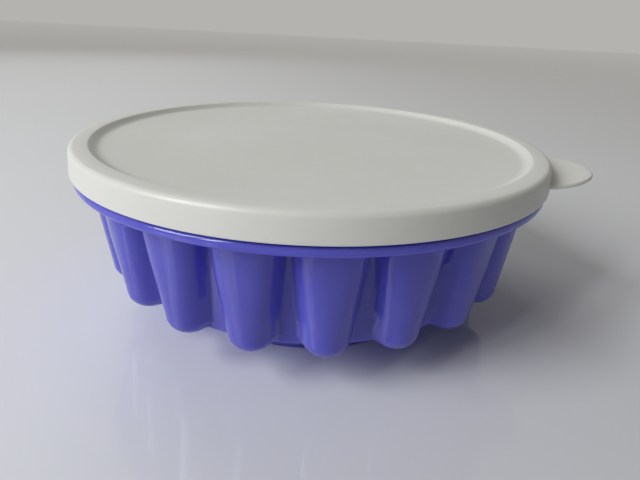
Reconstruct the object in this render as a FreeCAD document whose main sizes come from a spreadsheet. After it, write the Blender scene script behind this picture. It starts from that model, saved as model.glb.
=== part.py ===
import FreeCAD, Part
import os
import Sketcher

# Charlotte mould with its push-fit lid.
# Two mouldings: a bowl whose wall is a ring of half-round, ball-ended flutes that each
# hold one sponge finger, and a flat round lid that caps the upright rim of the bowl.
# Millimetres. +Z is up, the bowl stands on z = 0 with its axis on Z, and +X runs
# through the finger tab of the lid and through the middle of a flute.

doc = FreeCAD.newDocument("charlotte_mould")

SIZES = [
    # the bowl's foot and belly
    ("mould_wall", 1.8),
    ("foot_radius", 64.0),
    ("foot_flare", 1.6),
    ("foot_edge_round", 1.2),
    ("foot_top_round", 2.0),
    ("belly_height", 15.4),
    ("belly_corner_round", 3.0),
    # the ring of flutes
    ("flute_count", 20),
    ("flute_radius", 12.3),
    ("flute_circle_radius", 86.8),
    ("flute_ball_height", 28.3),
    ("flute_lean", 5.9),
    ("valley_inset", 1.2),
    # the ledge under the lid and the upright rim inside it
    ("ledge_height", 66.7),
    ("ledge_thickness", 3.9),
    ("ledge_reach", 5.6),
    ("ledge_lip_round", 1.6),
    ("rim_margin", 0.6),
    ("rim_height", 9.7),
    ("rim_bead_reach", 1.9),
    ("rim_bead_height", 3.0),
    ("rim_bead_drop", 1.2),
    # the lid
    ("lid_wall", 1.6),
    ("lid_bead_room", 1.9),
    ("lid_draft", 1.2),
    ("lid_skirt_gap", 0.8),
    ("lid_crown_round", 2.3),
    ("lid_step_run", 2.6),
    ("lid_step_depth", 2.5),
    ("lid_step_round", 1.2),
    ("plug_clearance", 0.35),
    ("plug_depth", 7.2),
    ("snap_clearance", 0.3),
    ("snap_height", 2.4),
    # the finger tab of the lid
    ("tab_reach", 19.0),
    ("tab_root_width", 50.0),
    ("tab_tip_width", 46.5),
    ("tab_corner_round", 20.0),
    ("tab_root_round", 1.5),
    ("tab_thickness", 1.9),
    ("tab_lift", 1.6),
    ("tab_tilt", 7.0),
]

sheet = doc.addObject("Spreadsheet::Sheet", "Sizes")
for row, (name, value) in enumerate(SIZES, start=1):
    sheet.set("A%d" % row, name)
    sheet.set("B%d" % row, "%g" % value)
    sheet.setAlias("B%d" % row, name)
doc.recompute()

# Places that several features share, as formulas in the named sizes.
WALL = "Sizes.mould_wall"
LEAN = "tan(Sizes.flute_lean * 1deg)"
COS_LEAN = "cos(Sizes.flute_lean * 1deg)"
LEDGE_TOP = "(Sizes.ledge_height + Sizes.ledge_thickness)"
RIM_TOP = LEDGE_TOP + " + Sizes.rim_height"
HOLLOW_RADIUS = "(Sizes.flute_radius - Sizes.mould_wall)"
VALLEY_RADIUS = "(Sizes.flute_circle_radius - Sizes.valley_inset)"
RIM_INNER = (
    "Sizes.flute_circle_radius + (" + LEDGE_TOP + " - Sizes.flute_ball_height) * " + LEAN
    + " + " + HOLLOW_RADIUS + " / " + COS_LEAN + " + Sizes.rim_margin"
)
RIM_OUTER = RIM_INNER + " + " + WALL
LEDGE_RADIUS = RIM_OUTER + " + Sizes.ledge_reach"
BEAD_TOP = RIM_TOP + " - Sizes.rim_bead_drop"
BEAD_LOW = BEAD_TOP + " - Sizes.rim_bead_height"
BEAD_OUTER = RIM_OUTER + " + Sizes.rim_bead_reach"
LID_TOP = RIM_TOP + " + Sizes.lid_wall"
SKIRT_LOW = LEDGE_TOP + " + Sizes.lid_skirt_gap"
CROWN_OUTER = BEAD_OUTER + " + Sizes.lid_bead_room + Sizes.lid_wall"
SKIRT_OUTER = CROWN_OUTER + " + Sizes.lid_draft"
PLUG_OUTER = RIM_INNER + " - Sizes.plug_clearance"
SNAP_INNER = BEAD_OUTER + " + Sizes.snap_clearance"


def valley_at(height):
    """Radius of the bowl's wall between two flutes at a height."""
    return VALLEY_RADIUS + " + (" + height + " - Sizes.flute_ball_height) * " + LEAN


def value_of(formula):
    """Present value of a formula in named sizes."""
    found = sheet.evalExpression(formula)
    return float(getattr(found, "Value", found))


def new_body(label):
    """One sub-part of the mould, whose label names its file."""
    body = doc.addObject("PartDesign::Body", label)
    body.Label = label
    body.Placement = FreeCAD.Placement()
    return body


def origin_part(body, role):
    """A plane or axis of the body's own origin."""
    return next(f for f in body.Origin.OriginFeatures if f.Role == role)


def new_sketch(body, name, role):
    """An empty sketch on one plane of the body's origin."""
    sketch = body.newObject("Sketcher::SketchObject", name)
    sketch.AttachmentSupport = [(origin_part(body, role), "")]
    sketch.MapMode = "FlatFace"
    return sketch


def bind(sketch, index, label, formula):
    """Name one dimension of a sketch and drive it by a formula."""
    sketch.renameConstraint(index, label)
    sketch.setExpression("Constraints." + label, formula)


def outline(body, name, corners):
    """A closed outline in the XZ plane from (radius, height) corner formulas."""
    sketch = new_sketch(body, name, "XZ_Plane")
    points = [FreeCAD.Vector(value_of(r), value_of(z), 0) for r, z in corners]
    for i, point in enumerate(points):
        following = points[(i + 1) % len(points)]
        sketch.addGeometry(Part.LineSegment(point, following), False)
    for i in range(len(points)):
        sketch.addConstraint(Sketcher.Constraint("Coincident", i, 2, (i + 1) % len(points), 1))
    for i, (radius, height) in enumerate(corners):
        if radius == "0":
            sketch.addConstraint(Sketcher.Constraint("PointOnObject", i, 1, -2))
        else:
            held = sketch.addConstraint(Sketcher.Constraint("DistanceX", -1, 1, i, 1, points[i].x))
            bind(sketch, held, "radius_%d" % i, radius)
        if height == "0":
            sketch.addConstraint(Sketcher.Constraint("PointOnObject", i, 1, -1))
        else:
            held = sketch.addConstraint(Sketcher.Constraint("DistanceY", -1, 1, i, 1, points[i].y))
            bind(sketch, held, "height_%d" % i, height)
    return sketch


def turned(body, kind, name, sketch, axis="V_Axis"):
    """Turn an outline once round an axis: a Revolution adds, a Groove cuts."""
    feature = body.newObject("PartDesign::" + kind, name)
    feature.Profile = sketch
    feature.ReferenceAxis = (sketch, [axis])
    feature.Angle = 360
    doc.recompute()
    return feature


def round_edges(body, name, base, edges, formula):
    """Round the listed edges of a feature with one radius."""
    feature = body.newObject("PartDesign::Fillet", name)
    feature.Base = (base, edges)
    feature.Radius = value_of(formula)
    feature.setExpression("Radius", formula)
    doc.recompute()
    return feature


def rings_at(feature, places):
    """Names of the full circles about Z that run through (radius, height) formulas."""
    found = []
    for radius, height in places:
        r = value_of(radius)
        z = value_of(height)
        for i, edge in enumerate(feature.Shape.Edges, start=1):
            box = edge.BoundBox
            if abs(box.ZMin - z) < 0.02 and abs(box.ZMax - z) < 0.02 and abs(box.XMax - r) < 0.02:
                found.append("Edge%d" % i)
    return found


def flute_outline(body, name, radius, length):
    """Half of one leaning, ball-ended rod, with its own axis as a construction line."""
    sketch = new_sketch(body, name, "XZ_Plane")
    r = value_of(radius)
    run = value_of(length)
    tilt = FreeCAD.Rotation(FreeCAD.Vector(0, 0, 1), -value_of("Sizes.flute_lean"))
    up = tilt.multVec(FreeCAD.Vector(0, 1, 0))
    out = tilt.multVec(FreeCAD.Vector(1, 0, 0))
    ball = FreeCAD.Vector(value_of("Sizes.flute_circle_radius"), value_of("Sizes.flute_ball_height"), 0)
    tip = ball - up * r
    side = ball + out * r
    middle = ball + (out - up).normalize() * r
    sketch.addGeometry(Part.Arc(tip, middle, side), False)
    sketch.addGeometry(Part.LineSegment(side, side + up * run), False)
    sketch.addGeometry(Part.LineSegment(side + up * run, ball + up * run), False)
    sketch.addGeometry(Part.LineSegment(ball + up * run, tip), False)
    sketch.addGeometry(Part.LineSegment(tip, ball + up * run), True)
    sketch.addConstraint(Sketcher.Constraint("Tangent", 0, 2, 1, 1))
    sketch.addConstraint(Sketcher.Constraint("Coincident", 1, 2, 2, 1))
    sketch.addConstraint(Sketcher.Constraint("Coincident", 2, 2, 3, 1))
    sketch.addConstraint(Sketcher.Constraint("Coincident", 3, 2, 0, 1))
    sketch.addConstraint(Sketcher.Constraint("Coincident", 4, 1, 3, 2))
    sketch.addConstraint(Sketcher.Constraint("Coincident", 4, 2, 3, 1))
    sketch.addConstraint(Sketcher.Constraint("PointOnObject", 0, 3, 3))
    sketch.addConstraint(Sketcher.Constraint("Parallel", 1, 3))
    sketch.addConstraint(Sketcher.Constraint("Perpendicular", 2, 3))
    held = sketch.addConstraint(Sketcher.Constraint("Radius", 0, r))
    bind(sketch, held, "radius", radius)
    held = sketch.addConstraint(Sketcher.Constraint("Distance", 1, run))
    bind(sketch, held, "length", length)
    held = sketch.addConstraint(Sketcher.Constraint("DistanceX", -1, 1, 0, 3, ball.x))
    bind(sketch, held, "ball_radius", "Sizes.flute_circle_radius")
    held = sketch.addConstraint(Sketcher.Constraint("DistanceY", -1, 1, 0, 3, ball.y))
    bind(sketch, held, "ball_height", "Sizes.flute_ball_height")
    lean = Sketcher.Constraint("Angle", 4, 1.5707963 - 0.01745329 * value_of("Sizes.flute_lean"))
    held = sketch.addConstraint(lean)
    bind(sketch, held, "lean", "90 deg - Sizes.flute_lean * 1deg")
    return sketch


def ring_of(body, name, feature):
    """Repeat a feature round the bowl, once for each flute."""
    pattern = body.newObject("PartDesign::PolarPattern", name)
    pattern.Originals = [feature]
    pattern.Axis = (origin_part(body, "Z_Axis"), [""])
    pattern.Angle = 360
    pattern.Occurrences = int(value_of("Sizes.flute_count"))
    pattern.setExpression("Occurrences", "Sizes.flute_count")
    body.Tip = pattern
    doc.recompute()
    return pattern


# The bowl: one moulding with an even wall. Its outside is turned first: the foot it
# stands on, the belly just over the table, the wall between the flutes, the ledge that
# shows under the lid, and the upright rim with its bead.
mould = new_body("mould")
BELLY = "Sizes.belly_height"
FOOT_HEAD = "Sizes.foot_radius + Sizes.foot_flare"
outside = outline(mould, "outside_outline", [
    ("0", "0"),
    ("Sizes.foot_radius", "0"),
    (FOOT_HEAD, BELLY),
    (valley_at(BELLY), BELLY),
    (valley_at("Sizes.ledge_height"), "Sizes.ledge_height"),
    (LEDGE_RADIUS, "Sizes.ledge_height"),
    (LEDGE_RADIUS, LEDGE_TOP),
    (RIM_OUTER, LEDGE_TOP),
    (RIM_OUTER, BEAD_LOW),
    (BEAD_OUTER, BEAD_LOW + " + 0.3 * Sizes.rim_bead_height"),
    (BEAD_OUTER, BEAD_TOP + " - 0.3 * Sizes.rim_bead_height"),
    (RIM_OUTER, BEAD_TOP),
    (RIM_OUTER, RIM_TOP),
    ("0", RIM_TOP),
])
bowl_blank = turned(mould, "Revolution", "bowl_blank", outside)
foot_edge = round_edges(
    mould, "foot_edge", bowl_blank,
    rings_at(bowl_blank, [("Sizes.foot_radius", "0")]), "Sizes.foot_edge_round")
foot_top = round_edges(
    mould, "foot_top", foot_edge,
    rings_at(foot_edge, [(FOOT_HEAD, BELLY)]), "Sizes.foot_top_round")
belly_corner = round_edges(
    mould, "belly_corner", foot_top,
    rings_at(foot_top, [(valley_at(BELLY), BELLY)]), "Sizes.belly_corner_round")
ledge_lip = round_edges(
    mould, "ledge_lip", belly_corner,
    rings_at(belly_corner, [(LEDGE_RADIUS, "Sizes.ledge_height"), (LEDGE_RADIUS, LEDGE_TOP)]),
    "Sizes.ledge_lip_round")

# The flutes: leaning rods with a ball end, set round the wall and sunk in it to their
# middle, so that each shows as a half-round rib.
FLUTE_LENGTH = "(" + LEDGE_TOP + " - Sizes.flute_ball_height) / " + COS_LEAN
flute_sketch = flute_outline(mould, "flute_outline", "Sizes.flute_radius", FLUTE_LENGTH)
flute = turned(mould, "Revolution", "flute", flute_sketch, "Axis0")
flutes = ring_of(mould, "flutes", flute)

# The hollow follows the outside at one wall's thickness: the well over the foot, the
# shelf over the belly, the ribs between the flutes, the deck under the rim.
DECK = "Sizes.ledge_height + " + WALL
inside = outline(mould, "inside_outline", [
    ("0", WALL),
    ("Sizes.foot_radius - " + WALL, WALL),
    (FOOT_HEAD + " - " + WALL, BELLY + " + " + WALL),
    (valley_at(BELLY) + " - " + WALL, BELLY + " + " + WALL),
    (valley_at("Sizes.ledge_height") + " - " + WALL, DECK),
    (RIM_INNER, DECK),
    (RIM_INNER, RIM_TOP + " + 1"),
    ("0", RIM_TOP + " + 1"),
])
solid_volume = flutes.Shape.Volume
hollow = turned(mould, "Groove", "hollow", inside)
well_edge = round_edges(
    mould, "well_edge", hollow,
    rings_at(hollow, [("Sizes.foot_radius - " + WALL, WALL)]), "Sizes.foot_edge_round")
hollow_corner = round_edges(
    mould, "hollow_corner", well_edge,
    rings_at(well_edge, [(valley_at(BELLY) + " - " + WALL, BELLY + " + " + WALL)]),
    "Sizes.belly_corner_round - " + WALL)
HOLLOW_LENGTH = FLUTE_LENGTH + " + " + HOLLOW_RADIUS + " * " + LEAN
hollow_sketch = flute_outline(mould, "flute_hollow_outline", HOLLOW_RADIUS, HOLLOW_LENGTH)
flute_hollow = turned(mould, "Groove", "flute_hollow", hollow_sketch, "Axis0")
flute_hollows = ring_of(mould, "flute_hollows", flute_hollow)
if flute_hollows.Shape.Volume > 0.5 * solid_volume:
    raise RuntimeError("the hollow of the bowl wasn't cut")

# The lid: one moulding. A skirt with a snap ridge inside, a raised crown that caps the
# rim, a plug ring that enters it, and a panel one step below the crown.
lid = new_body("lid")
SKIRT_INNER = SKIRT_OUTER + " - Sizes.lid_wall"
RIDGE_ROOT = SKIRT_INNER + " - Sizes.lid_draft / 2"
RIDGE_LOW = BEAD_LOW + " - Sizes.snap_height"
PANEL_TOP = LID_TOP + " - Sizes.lid_step_depth"
PLUG_INNER = PLUG_OUTER + " - Sizes.lid_wall"
PANEL_EDGE = PLUG_OUTER + " - Sizes.lid_step_run"
UNDER_STEP = RIM_TOP + " - Sizes.lid_wall * Sizes.lid_step_depth / Sizes.lid_step_run"
lid_sketch = outline(lid, "lid_outline", [
    ("0", PANEL_TOP),
    (PANEL_EDGE, PANEL_TOP),
    (PLUG_OUTER, LID_TOP),
    (CROWN_OUTER, LID_TOP),
    (SKIRT_OUTER, SKIRT_LOW),
    (SKIRT_INNER, SKIRT_LOW),
    (RIDGE_ROOT, RIDGE_LOW),
    (SNAP_INNER, RIDGE_LOW + " + 0.3 * Sizes.snap_height"),
    (SNAP_INNER, BEAD_LOW + " - 0.3 * Sizes.snap_height"),
    (RIDGE_ROOT, BEAD_LOW),
    (CROWN_OUTER + " - Sizes.lid_wall", RIM_TOP),
    (PLUG_OUTER, RIM_TOP),
    (PLUG_OUTER, RIM_TOP + " - Sizes.plug_depth"),
    (PLUG_INNER, RIM_TOP + " - Sizes.plug_depth"),
    (PLUG_INNER, UNDER_STEP),
    (PANEL_EDGE, PANEL_TOP + " - Sizes.lid_wall"),
    ("0", PANEL_TOP + " - Sizes.lid_wall"),
])
lid_blank = turned(lid, "Revolution", "lid_blank", lid_sketch)
crown_corner = round_edges(
    lid, "crown_corner", lid_blank,
    rings_at(lid_blank, [(CROWN_OUTER, LID_TOP)]), "Sizes.lid_crown_round")
channel_corner = round_edges(
    lid, "channel_corner", crown_corner,
    rings_at(crown_corner, [(CROWN_OUTER + " - Sizes.lid_wall", RIM_TOP)]),
    "Sizes.lid_crown_round - Sizes.lid_wall")
step_edges = round_edges(
    lid, "step_edges", channel_corner,
    rings_at(channel_corner, [
        (PLUG_OUTER, LID_TOP),
        (PANEL_EDGE, PANEL_TOP),
    ]),
    "Sizes.lid_step_round")

# The finger tab: a flat tongue that starts inside the thickness of the skirt and rises
# a little towards its tip.
TAB_COS = "cos(Sizes.tab_tilt * 1deg)"
TAB_PIVOT = SKIRT_LOW + " + Sizes.tab_lift - (" + CROWN_OUTER + ") * tan(Sizes.tab_tilt * 1deg)"
tab_sketch = new_sketch(lid, "tab_outline", "XY_Plane")
tab_sketch.AttachmentOffset = FreeCAD.Placement(
    FreeCAD.Vector(0, 0, value_of(TAB_PIVOT)),
    FreeCAD.Rotation(FreeCAD.Vector(0, -1, 0), value_of("Sizes.tab_tilt")))
tab_sketch.setExpression("AttachmentOffset.Base.z", TAB_PIVOT)
tab_sketch.setExpression("AttachmentOffset.Rotation.Angle", "Sizes.tab_tilt * 1deg")
TAB_ROOT = "(" + SKIRT_OUTER + " - Sizes.lid_wall / 2) / " + TAB_COS
TAB_TIP = "(" + CROWN_OUTER + " + Sizes.tab_reach) / " + TAB_COS
root = value_of(TAB_ROOT)
root_half = value_of("Sizes.tab_root_width") / 2
root_x = (root ** 2 - root_half ** 2) ** 0.5
tip_x = value_of(TAB_TIP)
tip_half = value_of("Sizes.tab_tip_width") / 2
root_low = FreeCAD.Vector(root_x, -root_half, 0)
root_high = FreeCAD.Vector(root_x, root_half, 0)
tip_low = FreeCAD.Vector(tip_x, -tip_half, 0)
tip_high = FreeCAD.Vector(tip_x, tip_half, 0)
tab_sketch.addGeometry(Part.LineSegment(root_low, tip_low), False)
tab_sketch.addGeometry(Part.LineSegment(tip_low, tip_high), False)
tab_sketch.addGeometry(Part.LineSegment(tip_high, root_high), False)
tab_sketch.addGeometry(Part.Arc(root_low, FreeCAD.Vector(root, 0, 0), root_high), False)
tab_sketch.addConstraint(Sketcher.Constraint("Coincident", 0, 2, 1, 1))
tab_sketch.addConstraint(Sketcher.Constraint("Coincident", 1, 2, 2, 1))
tab_sketch.addConstraint(Sketcher.Constraint("Coincident", 2, 2, 3, 2))
tab_sketch.addConstraint(Sketcher.Constraint("Coincident", 3, 1, 0, 1))
tab_sketch.addConstraint(Sketcher.Constraint("Coincident", 3, 3, -1, 1))
tab_sketch.addConstraint(Sketcher.Constraint("Symmetric", 1, 1, 1, 2, -1))
tab_sketch.addConstraint(Sketcher.Constraint("Symmetric", 3, 1, 3, 2, -1))
held = tab_sketch.addConstraint(Sketcher.Constraint("Radius", 3, root))
bind(tab_sketch, held, "root_radius", TAB_ROOT)
held = tab_sketch.addConstraint(Sketcher.Constraint("DistanceX", -1, 1, 1, 1, tip_x))
bind(tab_sketch, held, "tip", TAB_TIP)
held = tab_sketch.addConstraint(Sketcher.Constraint("DistanceY", 1, 1, 1, 2, 2 * tip_half))
bind(tab_sketch, held, "tip_width", "Sizes.tab_tip_width")
held = tab_sketch.addConstraint(Sketcher.Constraint("DistanceY", 3, 1, 3, 2, 2 * root_half))
bind(tab_sketch, held, "root_width", "Sizes.tab_root_width")
tab = lid.newObject("PartDesign::Pad", "tab")
tab.Profile = tab_sketch
tab.Length = value_of("Sizes.tab_thickness")
tab.setExpression("Length", "Sizes.tab_thickness")
doc.recompute()


def tab_side_edges(feature, at_tip):
    """Names of the tab's upright edges: the two at its tip, or the two at its root."""
    thickness = value_of("Sizes.tab_thickness")
    found = []
    for i, edge in enumerate(feature.Shape.Edges, start=1):
        box = edge.BoundBox
        upright = abs(box.ZLength - thickness) < 0.1 * thickness
        narrow = box.XLength < 0.5 * thickness and box.YLength < 0.5 * thickness
        beside = min(abs(box.YMin), abs(box.YMax)) > 0.4 * value_of("Sizes.tab_tip_width")
        if upright and narrow and beside and (box.XMin > value_of(SKIRT_OUTER)) == at_tip:
            found.append("Edge%d" % i)
    return found


tab_corners = round_edges(
    lid, "tab_corners", tab, tab_side_edges(tab, True), "Sizes.tab_corner_round")
tab_root = round_edges(
    lid, "tab_root", tab_corners, tab_side_edges(tab_corners, False), "Sizes.tab_root_round")

# Every object has to have come out sound before anything is written.
doc.recompute()
for item in doc.Objects:
    if "Invalid" in item.State or "Error" in item.State:
        raise RuntimeError("%s did not build: %s" % (item.Name, item.State))
for body in (mould, lid):
    if body.Shape.isNull() or not body.Shape.isValid() or len(body.Shape.Solids) != 1:
        raise RuntimeError("%s is not one sound solid" % body.Label)

os.makedirs("parts", exist_ok=True)
for body in (mould, lid):
    body.Shape.exportStep("parts/%s.step" % body.Label)
    print(body.Label, round(body.Shape.Volume / 1000, 1), "cm3", body.Shape.BoundBox)
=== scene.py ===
import math

import bpy
import numpy as np
from mathutils import Matrix, Vector


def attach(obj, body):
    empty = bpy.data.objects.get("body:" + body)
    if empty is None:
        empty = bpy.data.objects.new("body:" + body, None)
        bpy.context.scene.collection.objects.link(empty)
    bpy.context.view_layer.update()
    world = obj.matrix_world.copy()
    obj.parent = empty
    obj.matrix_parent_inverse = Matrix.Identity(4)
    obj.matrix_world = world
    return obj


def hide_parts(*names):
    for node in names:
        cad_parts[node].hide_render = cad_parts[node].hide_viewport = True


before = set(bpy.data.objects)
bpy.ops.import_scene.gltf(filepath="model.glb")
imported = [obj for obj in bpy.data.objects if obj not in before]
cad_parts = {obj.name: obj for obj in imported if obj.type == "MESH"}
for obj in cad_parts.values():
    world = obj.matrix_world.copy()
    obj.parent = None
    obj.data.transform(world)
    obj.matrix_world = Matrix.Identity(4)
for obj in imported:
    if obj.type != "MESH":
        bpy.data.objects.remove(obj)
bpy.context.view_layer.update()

# The bowl: one injection moulding in glossy violet plastic, of one even wall. Twenty flutes,
# each the pocket of one sponge finger, taper down to ball ends round a low foot, with the
# belly between them; a round-lipped ledge carries the rim that the lid is pushed on to.
MM = 0.001
WALL = 1.8
FOOT_RADIUS = 65.0
FOOT_FLARE = 1.6
FOOT_EDGE_ROUND = 1.2
FOOT_CORNER_ROUND = 2.0
FOOT_FLAT = 30
BELLY_HEIGHT = 19.2
BELLY_ROUND = 1.4
FLUTES = 20
FLUTE_RADIUS = 9.6
FLUTE_TAPER = 0.108
FLUTE_CIRCLE = 89.2
BALL_HEIGHT = 25.3
BALL_DEPTH = 8.2
VALLEY_RADIUS = 88.9
WALL_SLOPE = math.radians(5.9)
VALLEY_ROUND = 0.45
# a flute's section is round at its ball, of power 2, and a little squarer SQUARE_RISE above it
SQUARE_LOW = 2.0
SQUARE_HIGH = 2.6
SQUARE_RISE = 25.0
LEDGE_HEIGHT = 66.7
LEDGE_TOP = 70.6
LEDGE_REACH = 5.6
LEDGE_LIP = 1.6
LEDGE_FILLET = 1.0
LEDGE_SHARES = (0.35, 0.7)
RIM_INNER = 102.33
RIM_TOP = 80.3
RIM_ROUND = 0.4
RIM_ROOT_ROUND = 0.8
BEAD_REACH = 1.9
BEAD_HEIGHT = 3.0
BEAD_DROP = 1.2
BEAD_SLOPE = 0.3
BEAD_ROUND = 0.5
BEAD_ROOT_ROUND = 0.3
# the deck is the ring inside the rim, level with the ledge, from which the pockets go down
DECK_GAP = 0.2
DECK_ROUND = 0.8
DECK_ROUND_LEAST = 0.05
DECK_COVE = 0.3
DECK_COVE_SHARES = (0.1, 0.5)

RIM_OUTER = RIM_INNER + WALL
LEDGE_RADIUS = RIM_OUTER + LEDGE_REACH
DECK = LEDGE_HEIGHT + WALL
BEAD_TOP = RIM_TOP - BEAD_DROP

# how close the rows and columns of points stand; bends are in degrees
STEPS_A_FLUTE = 22
WALL_ROWS = 13
QUARTER_STEPS = 4
BEND_STEP = 90 / QUARTER_STEPS
# lines that search for the wall start at these radii; a fan of them, in degrees below level,
# finds the belly's corner and the balls, and is finer where it meets the balls
SEARCH_OUTSIDE = 112
SEARCH_INSIDE = 60
FAN_OUTSIDE = 72
FAN_INSIDE = 70
FAN_REACH = 45
FAN_FINE = 1.5
FAN_TURN = 33
FAN_COARSE = 3
fan = np.concatenate([np.arange(0, FAN_TURN, FAN_FINE),
                      np.arange(FAN_TURN, 90 + FAN_COARSE, FAN_COARSE)])

# the columns of points stand closer in the valleys, where the outline turns sharply
flute_share = np.arange(STEPS_A_FLUTE) / STEPS_A_FLUTE * 2 - 1
across = math.pi / FLUTES * np.sin(flute_share * math.pi / 2)
bowl_angles = (across[None, :] + 2 * math.pi / FLUTES * np.arange(FLUTES)[:, None]).ravel()


def bowl_distance(radius, height, angle):
    """Signed distance in mm to the outside of the belly and its flutes, with filleted valleys."""
    valley = VALLEY_RADIUS + (height - BALL_HEIGHT) * math.tan(WALL_SLOPE)
    wall = (radius - valley) * math.cos(WALL_SLOPE)
    floor = BELLY_HEIGHT - height
    corner = np.hypot(np.maximum(wall + BELLY_ROUND, 0), np.maximum(floor + BELLY_ROUND, 0))
    belly = np.minimum(np.maximum(wall, floor), -BELLY_ROUND) + corner
    pitch = 2 * math.pi / FLUTES
    off = angle - np.round(angle / pitch) * pitch
    above = np.maximum(height - BALL_HEIGHT, 0)
    below = np.minimum(height - BALL_HEIGHT, 0) * FLUTE_RADIUS / BALL_DEPTH
    out = radius * np.cos(off) - FLUTE_CIRCLE
    side = radius * np.sin(off)
    square = SQUARE_LOW + (SQUARE_HIGH - SQUARE_LOW) * np.minimum(above / SQUARE_RISE, 1)
    level = (np.abs(out) ** square + np.abs(side) ** square) ** (1 / square)
    rod = np.hypot(level, below) - FLUTE_RADIUS - above * FLUTE_TAPER
    fillet = np.hypot(np.maximum(VALLEY_ROUND - belly, 0), np.maximum(VALLEY_ROUND - rod, 0))
    return np.maximum(np.minimum(belly, rod), VALLEY_ROUND) - fillet


def find_wall(start, step, depth):
    """Walk along step, in (radius, height), to the skin that lies depth under the outside."""
    walk_steps, walk_pace = 60, 0.9
    radius = np.full(len(bowl_angles), start[0])
    height = np.full(len(bowl_angles), start[1])
    facing = 1 if depth == 0 else -1
    for _ in range(walk_steps):
        gap = (bowl_distance(radius, height, bowl_angles) + depth) * facing * walk_pace
        radius = radius + step[0] * gap
        height = height + step[1] * gap
    return radius, height


def rounded(corners):
    """A (radius, height) outline whose corners, given as (radius, height, round), become arcs."""
    steps_a_radian, fewest_steps = 4, 3
    line = []
    for i, (x, y, bend) in enumerate(corners):
        here = Vector((x, y))
        if bend == 0 or i in (0, len(corners) - 1):
            line.append((x, y))
            continue
        back = (Vector(corners[i - 1][:2]) - here).normalized()
        ahead = (Vector(corners[i + 1][:2]) - here).normalized()
        half = back.angle(ahead) / 2
        reach = bend / math.tan(half)
        centre = here + (back + ahead).normalized() * (bend / math.sin(half))
        first = here + back * reach - centre
        last = here + ahead * reach - centre
        turn = first.angle_signed(last)
        count = max(fewest_steps, round(abs(turn) * steps_a_radian))
        for k in range(count + 1):
            p = centre + Matrix.Rotation(-turn * k / count, 2) @ first
            line.append((p.x, p.y))
    return line


def ring(radius, height, angles):
    """One closed row of points; radius and height are numbers or one value per angle."""
    radius = np.broadcast_to(np.asarray(radius, float), angles.shape)
    height = np.broadcast_to(np.asarray(height, float), angles.shape)
    return np.stack([radius * np.cos(angles), radius * np.sin(angles), height], -1) * MM


def skin(name, line, angles, low_centre, high_centre):
    """A closed mesh from a line of (radius, height) rows, capped at the two centre heights."""
    rows = [ring(radius, height, angles) for radius, height in line]
    count = len(angles)
    centres = np.array([(0, 0, low_centre), (0, 0, high_centre)]) * MM
    points = np.concatenate(rows + [centres])
    around = np.arange(count)
    following = (around + 1) % count
    faces = []
    for k in range(len(rows) - 1):
        a = k * count
        b = a + count
        faces.extend(zip(a + around, a + following, b + following, b + around))
    low, high = len(points) - 2, len(points) - 1
    top = (len(rows) - 1) * count
    faces.extend((low, j, i) for i, j in zip(around, following))
    faces.extend((high, top + i, top + j) for i, j in zip(around, following))
    mesh = bpy.data.meshes.new(name)
    mesh.from_pydata(points.tolist(), [], [tuple(int(v) for v in f) for f in faces])
    mesh.validate()
    mesh.shade_smooth()
    piece = bpy.data.objects.new(name, mesh)
    bpy.context.scene.collection.objects.link(piece)
    return piece


# outside, from the middle of the foot up to the ledge
bowl_line = rounded([
    (FOOT_FLAT, 0, 0),
    (FOOT_RADIUS, 0, FOOT_EDGE_ROUND),
    (FOOT_RADIUS + FOOT_FLARE, BELLY_HEIGHT, FOOT_CORNER_ROUND),
    (FAN_OUTSIDE, BELLY_HEIGHT, 0),
])[:-1]
for fall in np.radians(fan[::-1]):
    far = (FAN_OUTSIDE + FAN_REACH * math.cos(fall), BALL_HEIGHT - FAN_REACH * math.sin(fall))
    bowl_line.append(find_wall(far, (-math.cos(fall), math.sin(fall)), 0))
for z in np.linspace(BALL_HEIGHT, LEDGE_HEIGHT - LEDGE_FILLET, WALL_ROWS)[1:]:
    wall_r, _ = find_wall((SEARCH_OUTSIDE, z), (-1, 0), 0)
    bowl_line.append((wall_r, z))
for k in range(1, QUARTER_STEPS + 1):
    bend = math.radians(BEND_STEP * k)
    bowl_line.append((wall_r + LEDGE_FILLET * (1 - math.cos(bend)),
                      LEDGE_HEIGHT - LEDGE_FILLET * (1 - math.sin(bend))))
ledge_root = wall_r + LEDGE_FILLET
for share in LEDGE_SHARES:
    reach = ledge_root + (LEDGE_RADIUS - LEDGE_LIP - ledge_root) * share
    bowl_line.append((reach, LEDGE_HEIGHT))
# round the ledge's lip, up the rim over its bead, and down its inside
bowl_line += rounded([
    (LEDGE_RADIUS - 2 * LEDGE_LIP, LEDGE_HEIGHT, 0),
    (LEDGE_RADIUS, LEDGE_HEIGHT, LEDGE_LIP),
    (LEDGE_RADIUS, LEDGE_TOP, LEDGE_LIP),
    (RIM_OUTER, LEDGE_TOP, RIM_ROOT_ROUND),
    (RIM_OUTER, BEAD_TOP - BEAD_HEIGHT, BEAD_ROOT_ROUND),
    (RIM_OUTER + BEAD_REACH, BEAD_TOP - (1 - BEAD_SLOPE) * BEAD_HEIGHT, BEAD_ROUND),
    (RIM_OUTER + BEAD_REACH, BEAD_TOP - BEAD_SLOPE * BEAD_HEIGHT, BEAD_ROUND),
    (RIM_OUTER, BEAD_TOP, BEAD_ROOT_ROUND),
    (RIM_OUTER, RIM_TOP, RIM_ROUND),
    (RIM_INNER, RIM_TOP, RIM_ROUND),
    (RIM_INNER, DECK + 1, 0),
])[1:]
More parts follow.
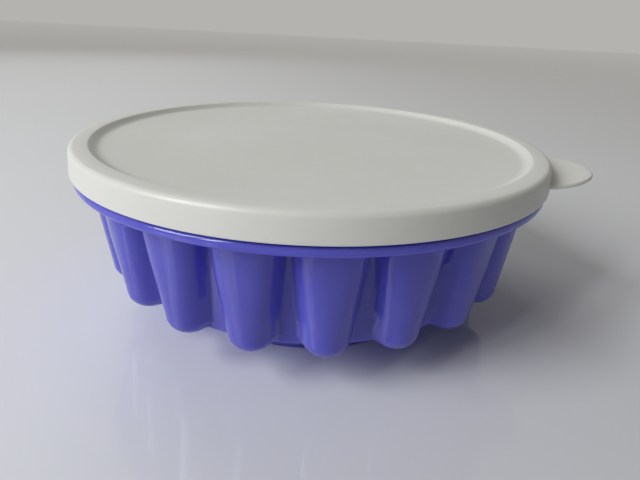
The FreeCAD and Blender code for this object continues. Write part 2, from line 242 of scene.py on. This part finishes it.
# inside, from the deck down the pockets and the belly to the middle of the well
hollow_r, _ = find_wall((SEARCH_INSIDE, DECK - DECK_ROUND), (1, 0), WALL)
edge = np.clip((RIM_INNER - DECK_GAP - hollow_r) / 2, DECK_ROUND_LEAST, DECK_ROUND)
bowl_line.append((RIM_INNER - edge * DECK_COVE_SHARES[0], DECK + DECK_COVE))
bowl_line.append((RIM_INNER - edge * DECK_COVE_SHARES[1], DECK))
for k in range(QUARTER_STEPS):
    bend = math.radians(BEND_STEP * k)
    bowl_line.append((hollow_r + edge * (1 - math.sin(bend)), DECK - edge * (1 - math.cos(bend))))
for z in np.linspace(DECK - DECK_ROUND, BALL_HEIGHT, WALL_ROWS):
    pocket_r, _ = find_wall((SEARCH_INSIDE, z), (1, 0), WALL)
    bowl_line.append((pocket_r, z))
for fall in np.radians(fan[1:]):
    bowl_line.append(find_wall((FAN_INSIDE, BALL_HEIGHT), (math.cos(fall), -math.sin(fall)), WALL))
bowl_line += rounded([
    (FAN_INSIDE, BELLY_HEIGHT + WALL, 0),
    (FOOT_RADIUS + FOOT_FLARE - WALL, BELLY_HEIGHT + WALL, FOOT_EDGE_ROUND),
    (FOOT_RADIUS - WALL, WALL, FOOT_CORNER_ROUND),
    (FOOT_FLAT, WALL, 0),
])[1:]
bowl = skin("bowl", bowl_line, bowl_angles, 0, WALL)
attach(bowl, "bowl")
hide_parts("mould")


def new_material(name):
    """A new node material, with its tree and its main shader."""
    material = bpy.data.materials.new(name)
    material.use_nodes = True
    tree = material.node_tree
    shader = next(n for n in tree.nodes if n.type == "BSDF_PRINCIPLED")
    return material, tree, shader


def noise(tree, scale, detail, roughness=0.5):
    """The strength of a noise texture laid in the object's own space."""
    place = tree.nodes.new("ShaderNodeTexCoord")
    field = tree.nodes.new("ShaderNodeTexNoise")
    field.inputs["Scale"].default_value = scale
    field.inputs["Detail"].default_value = detail
    field.inputs["Roughness"].default_value = roughness
    tree.links.new(place.outputs["Object"], field.inputs["Vector"])
    return field.outputs["Fac"]


def between(tree, field, low, high, first, last, socket):
    """Drive a socket by a field: the first colour up to low, the last one from high on."""
    ramp = tree.nodes.new("ShaderNodeValToRGB")
    ramp.color_ramp.elements[0].position = low
    ramp.color_ramp.elements[1].position = high
    ramp.color_ramp.elements[0].color = first
    ramp.color_ramp.elements[1].color = last
    tree.links.new(field, ramp.inputs["Fac"])
    tree.links.new(ramp.outputs["Color"], socket)


def grey(shade):
    """One shade as a colour."""
    return shade, shade, shade, 1


def ripple(tree, field, strength, depth, shader):
    """Raise the skin of a moulding a little by a field."""
    relief = tree.nodes.new("ShaderNodeBump")
    relief.inputs["Strength"].default_value = strength
    relief.inputs["Distance"].default_value = depth
    tree.links.new(field, relief.inputs["Height"])
    tree.links.new(relief.outputs["Normal"], shader.inputs["Normal"])


VIOLET_DARK = (0.096, 0.092, 0.530, 1)
VIOLET_LIGHT = (0.112, 0.107, 0.595, 1)
VIOLET_SPREAD = (0.35, 0.35, 1.0)
VIOLET_ROUGHNESS = (0.03, 0.07)

violet, tree, shader = new_material("violet_plastic")
shader.inputs["IOR"].default_value = 1.49
shader.inputs["Subsurface Weight"].default_value = 0.8
shader.inputs["Subsurface Radius"].default_value = VIOLET_SPREAD
shader.inputs["Subsurface Scale"].default_value = 0.008
cloud = noise(tree, scale=14, detail=3)
between(tree, cloud, 0.3, 0.7, VIOLET_DARK, VIOLET_LIGHT, shader.inputs["Base Color"])
haze = noise(tree, scale=60, detail=6, roughness=0.65)
between(tree, haze, 0.35, 0.75, grey(VIOLET_ROUGHNESS[0]), grey(VIOLET_ROUGHNESS[1]),
        shader.inputs["Roughness"])
wave = noise(tree, scale=35, detail=2)
ripple(tree, wave, 0.04, 0.0006, shader)
bowl.data.materials.append(violet)

# The lid: one injection moulding in soft off-white plastic with a satin skin. A skirt with
# a snap ridge inside, a raised crown that caps the rim, a plug ring, a panel one step below
# the crown, and a flat finger tab that grows out of the skirt.
LID_WALL = 1.6
LID_ROUND = 0.3
LID_DRAFT = 1.2
LID_INSET = 0.05
BEAD_ROOM = 1.9
CROWN_ROUND = 2.3
SKIRT_GAP = 0.8
SKIRT_ROUND = 0.5
SNAP_GAP = 0.3
SNAP_HEIGHT = 2.4
SNAP_FACE_LOW = 1.7
SNAP_FACE_HIGH = 0.7
PLUG_GAP = 0.35
PLUG_DEPTH = 7.2
PLUG_ROUND = 0.6
STEP_RUN = 3.2
STEP_DEPTH = 2.5
STEP_TOP_ROUND = 1.5
STEP_FOOT_ROUND = 5.0
STEP_UNDER_ROUND = 0.8
PANEL_FLAT = 60
TAB_REACH = 19.0
TAB_ROOT = 50.0
TAB_TIP = 46.5
TAB_CORNER = 20.0
TAB_FLARE = 1.5
TAB_RISE = 1.6
TAB_THICK = 1.9
TAB_EDGE = 0.8
TAB_TILT = math.radians(7)
TAB_SPREAD = math.radians(17)

LID_TOP = RIM_TOP + LID_WALL
CROWN_OUTER = RIM_OUTER + BEAD_REACH + BEAD_ROOM + LID_WALL
SKIRT_LOW = LEDGE_TOP + SKIRT_GAP
SKIRT_OUTER = CROWN_OUTER + LID_DRAFT - LID_INSET
SKIRT_INNER = SKIRT_OUTER - LID_WALL
SNAP_INNER = RIM_OUTER + BEAD_REACH + SNAP_GAP
SNAP_ROOT = SKIRT_INNER - LID_DRAFT / 2
SNAP_TOP = BEAD_TOP - BEAD_HEIGHT
PLUG_OUTER = RIM_INNER - PLUG_GAP
PLUG_LOW = RIM_TOP - PLUG_DEPTH
TAB_LOW = SKIRT_LOW + TAB_RISE
TAB_MIDDLE = TAB_LOW + TAB_THICK / 2

# how close the columns of points stand, over the tab and over the rest of the lid
TAB_STEPS = 181
REST_STEPS = 260
tab_angles = np.linspace(-TAB_SPREAD, TAB_SPREAD, TAB_STEPS)
rest_angles = np.linspace(TAB_SPREAD, 2 * math.pi - TAB_SPREAD, REST_STEPS)[1:-1]
lid_angles = np.concatenate([tab_angles, rest_angles])


def skirt_at(height):
    """Radius of the skirt's outside at a height: it opens a little towards the bowl."""
    return CROWN_OUTER + (SKIRT_OUTER - CROWN_OUTER) * (LID_TOP - height) / (LID_TOP - SKIRT_LOW)


def tab_outline(angle):
    """How far the tab's outline, filleted into the skirt, stands from the axis at each angle."""
    outline_steps = 2400
    skirt = skirt_at(TAB_MIDDLE)
    tip = CROWN_OUTER + TAB_REACH
    distance = np.linspace(skirt - 1, tip + 1, outline_steps)[None, :]
    x = distance * np.cos(angle)[:, None]
    y = distance * np.abs(np.sin(angle))[:, None]
    side = y - TAB_ROOT / 2 + (TAB_ROOT - TAB_TIP) / 2 * (x - CROWN_OUTER) / TAB_REACH
    front = x - tip
    corner = np.hypot(np.maximum(side + TAB_CORNER, 0), np.maximum(front + TAB_CORNER, 0))
    tab = np.minimum(np.maximum(side, front), -TAB_CORNER) + corner
    lid = distance - skirt
    fillet = np.hypot(np.maximum(TAB_FLARE - tab, 0), np.maximum(TAB_FLARE - lid, 0))
    inside = np.maximum(np.minimum(tab, lid), TAB_FLARE) - fillet < 0
    return np.where(inside, distance, skirt).max(axis=1)


# the tab's rows of points, as shares of its reach: its top from the root out, round its edge,
# and back along its underside; away from the tab the same rows run down the skirt
TAB_SHARES = (0.0, 0.03, 0.08, 0.3, 0.6, 0.85)
ROOT_SHARE = 0.08
ROOT_BEND = 0.6
ROWS_OVER_TAB = 1.2
ROWS_OVER_EDGE = 0.9
ROW_GAP_HIGH = 0.2
ROW_GAP_LOW = 0.1
ROW_HIGH = TAB_LOW + TAB_THICK + ROWS_OVER_TAB
ROW_LOW = SKIRT_LOW + ROWS_OVER_EDGE
FULL_TAB = 2.5
tab_stand = np.zeros(len(lid_angles))
tab_stand[:TAB_STEPS] = tab_outline(tab_angles) - skirt_at(TAB_MIDDLE)
tab_grow = np.clip(tab_stand / FULL_TAB, 0, 1)
tab_rows = [(share, 1, 0) for share in TAB_SHARES]
for bend in np.radians(np.arange(90, -91, -BEND_STEP)):
    tab_rows.append((1, math.sin(bend), math.cos(bend)))
tab_rows += [(share, -1, 0) for share in reversed(TAB_SHARES)]

# outside, from the panel over the crown to the skirt above the tab
lid_line = rounded([
    (PANEL_FLAT, LID_TOP - STEP_DEPTH, 0),
    (PLUG_OUTER - STEP_RUN, LID_TOP - STEP_DEPTH, STEP_FOOT_ROUND),
    (PLUG_OUTER, LID_TOP, STEP_TOP_ROUND),
    (CROWN_OUTER, LID_TOP, CROWN_ROUND),
    (skirt_at(ROW_HIGH + ROW_GAP_HIGH), ROW_HIGH + ROW_GAP_HIGH, 0),
])
for k, (share, level, swell) in enumerate(tab_rows):
    flat = ROW_HIGH + (ROW_LOW - ROW_HIGH) * k / (len(tab_rows) - 1)
    reach = skirt_at(flat) + (tab_stand - TAB_EDGE * tab_grow) * share + TAB_EDGE * tab_grow * swell
    bend = ROOT_BEND * (1 - share / ROOT_SHARE) ** 2 if share < ROOT_SHARE else 0.0
    rise = (reach * np.cos(lid_angles) - CROWN_OUTER) * math.tan(TAB_TILT)
    face = TAB_LOW + TAB_THICK / 2 * (1 + level) + bend * level + rise
    lid_line.append((reach, flat + (face - flat) * tab_grow))
# round the skirt's edge, up its inside over the ridge, round the plug ring and to the middle
lid_line += rounded([
    (skirt_at(ROW_LOW - ROW_GAP_LOW), ROW_LOW - ROW_GAP_LOW, 0),
    (SKIRT_OUTER, SKIRT_LOW, SKIRT_ROUND),
    (SKIRT_INNER, SKIRT_LOW, LID_ROUND),
    (SNAP_ROOT, SNAP_TOP - SNAP_HEIGHT, LID_ROUND),
    (SNAP_INNER, SNAP_TOP - SNAP_FACE_LOW, LID_ROUND),
    (SNAP_INNER, SNAP_TOP - SNAP_FACE_HIGH, LID_ROUND),
    (SNAP_ROOT, SNAP_TOP, LID_ROUND),
    (CROWN_OUTER - LID_WALL, RIM_TOP, CROWN_ROUND - LID_WALL),
    (PLUG_OUTER, RIM_TOP, LID_ROUND),
    (PLUG_OUTER, PLUG_LOW, PLUG_ROUND),
    (PLUG_OUTER - LID_WALL, PLUG_LOW, PLUG_ROUND),
    (PLUG_OUTER - LID_WALL, RIM_TOP - LID_WALL * STEP_DEPTH / STEP_RUN, LID_ROUND),
    (PLUG_OUTER - STEP_RUN, RIM_TOP - STEP_DEPTH, STEP_UNDER_ROUND),
    (PANEL_FLAT, RIM_TOP - STEP_DEPTH, 0),
])
cover = skin("cover", lid_line[::-1], lid_angles, RIM_TOP - STEP_DEPTH, LID_TOP - STEP_DEPTH)
cover.data.flip_normals()
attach(cover, "cover")
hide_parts("lid")

IVORY_DARK = (0.70, 0.69, 0.64, 1)
IVORY_LIGHT = (0.76, 0.75, 0.71, 1)
IVORY_SPREAD = (1.0, 0.85, 0.65)
IVORY_ROUGHNESS = (0.30, 0.42)

ivory, tree, shader = new_material("ivory_plastic")
shader.inputs["IOR"].default_value = 1.5
shader.inputs["Subsurface Weight"].default_value = 0.25
shader.inputs["Subsurface Radius"].default_value = IVORY_SPREAD
shader.inputs["Subsurface Scale"].default_value = 0.004
cloud = noise(tree, scale=9, detail=4)
between(tree, cloud, 0.3, 0.7, IVORY_DARK, IVORY_LIGHT, shader.inputs["Base Color"])
haze = noise(tree, scale=120, detail=8, roughness=0.7)
between(tree, haze, 0.3, 0.75, grey(IVORY_ROUGHNESS[0]), grey(IVORY_ROUGHNESS[1]),
        shader.inputs["Roughness"])
grain = noise(tree, scale=500, detail=3)
ripple(tree, grain, 0.08, 0.0002, shader)
cover.data.materials.append(ivory)

# The floor: a plain pale top with a soft polish, in which the bowl is faintly mirrored.
# It is one flat sheet, wide enough to fill the picture behind the bowl.
FLOOR_HALF = 6
FLOOR_COLOR = (0.80, 0.80, 0.82, 1)
floor_mesh = bpy.data.meshes.new("floor")
floor_corners = [(-FLOOR_HALF, -FLOOR_HALF, 0), (FLOOR_HALF, -FLOOR_HALF, 0),
                 (FLOOR_HALF, FLOOR_HALF, 0), (-FLOOR_HALF, FLOOR_HALF, 0)]
floor_mesh.from_pydata(floor_corners, [], [(0, 1, 2, 3)])
floor = bpy.data.objects.new("floor", floor_mesh)
bpy.context.scene.collection.objects.link(floor)
pale, tree, shader = new_material("pale_floor")
shader.inputs["Base Color"].default_value = FLOOR_COLOR
shader.inputs["Roughness"].default_value = 0.03
shader.inputs["IOR"].default_value = 1.45
floor_mesh.materials.append(pale)

# The camera stands where the photograph was taken, close and a little above the lid. Its
# angles are in radians, its places in metres and its picture in pixels.
TURN = math.radians(13.13)
YAW = 0.0247
PITCH = 0.4230
ROLL = 0.0478
CAMERA_DISTANCE = 0.23774
CAMERA_HEIGHT = 0.13091
LENS_PIXELS = 476.3
PICTURE_PIXELS = 640
SENSOR_WIDTH = 36
forward = Vector((math.sin(YAW) * math.cos(PITCH), math.cos(YAW) * math.cos(PITCH),
                  -math.sin(PITCH)))
level_right = Vector((math.cos(YAW), -math.sin(YAW), 0))
level_up = level_right.cross(forward)
right = level_right * math.cos(ROLL) + level_up * math.sin(ROLL)
up = level_up * math.cos(ROLL) - level_right * math.sin(ROLL)
spin = Matrix.Rotation(TURN, 3, "Z")
axes = Matrix((spin @ right, spin @ up, spin @ -forward)).transposed()
stand = spin @ Vector((0, -CAMERA_DISTANCE, CAMERA_HEIGHT))
camera_data = bpy.data.cameras.new("camera")
camera_data.sensor_width = SENSOR_WIDTH
camera_data.lens = LENS_PIXELS / PICTURE_PIXELS * SENSOR_WIDTH
camera = bpy.data.objects.new("camera", camera_data)
camera.matrix_world = Matrix.LocRotScale(stand, axes.to_quaternion(), None)
bpy.context.scene.collection.objects.link(camera)
bpy.context.scene.camera = camera
bpy.context.scene.view_settings.view_transform = "Standard"

# The light: a wide and a narrow soft lamp in front on the left, which draw the light bands on
# the glossy flutes, a weaker one behind on the left, and a dim grey sky, which the camera and
# whatever is mirrored in the gloss see as one plain grey.
SKY_COLOR = (0.60, 0.60, 0.57, 1)
SKY_STRENGTH = 0.16
PLAIN_COLOR = (0.46, 0.45, 0.43, 1)
DAYLIGHT = (0.97, 0.99, 1.0)
LAMP_DISTANCE = 1.8
world = bpy.data.worlds.new("room")
bpy.context.scene.world = world
world.use_nodes = True
tree = world.node_tree
sky = tree.nodes["Background"]
sky.inputs["Color"].default_value = SKY_COLOR
sky.inputs["Strength"].default_value = SKY_STRENGTH
plain = tree.nodes.new("ShaderNodeBackground")
plain.inputs["Color"].default_value = PLAIN_COLOR
seen = tree.nodes.new("ShaderNodeLightPath")
shown = seen.outputs["Is Camera Ray"]
for ray in ("Is Glossy Ray", "Is Transmission Ray"):
    either = tree.nodes.new("ShaderNodeMath")
    either.operation = "MAXIMUM"
    tree.links.new(shown, either.inputs[0])
    tree.links.new(seen.outputs[ray], either.inputs[1])
    shown = either.outputs["Value"]
choose = tree.nodes.new("ShaderNodeMixShader")
tree.links.new(shown, choose.inputs["Fac"])
tree.links.new(sky.outputs["Background"], choose.inputs[1])
tree.links.new(plain.outputs["Background"], choose.inputs[2])
tree.links.new(choose.outputs["Shader"], tree.nodes["World Output"].inputs["Surface"])


def soft_lamp(name, left, height, size, watts, mirrored):
    """A rectangular lamp, left degrees round from the camera and height degrees up."""
    lamp = bpy.data.lights.new(name, "AREA")
    lamp.shape = "RECTANGLE"
    lamp.size, lamp.size_y = size
    lamp.energy = watts
    lamp.color = DAYLIGHT
    bearing = TURN - math.radians(90 + left)
    rise = math.radians(height)
    place = Vector((math.cos(bearing) * math.cos(rise), math.sin(bearing) * math.cos(rise),
                    math.sin(rise)))
    holder = bpy.data.objects.new(name, lamp)
    holder.location = place * LAMP_DISTANCE
    holder.rotation_mode = "QUATERNION"
    holder.rotation_quaternion = (-place).to_track_quat("-Z", "Y")
    holder.visible_glossy = mirrored
    bpy.context.scene.collection.objects.link(holder)


soft_lamp("window_left", 63, 35, (0.60, 1.1), 20, True)
soft_lamp("window_right", 44, 35, (0.15, 1.1), 7.5, True)
soft_lamp("far_window", 148, 36, (1.0, 1.0), 8.3, False)
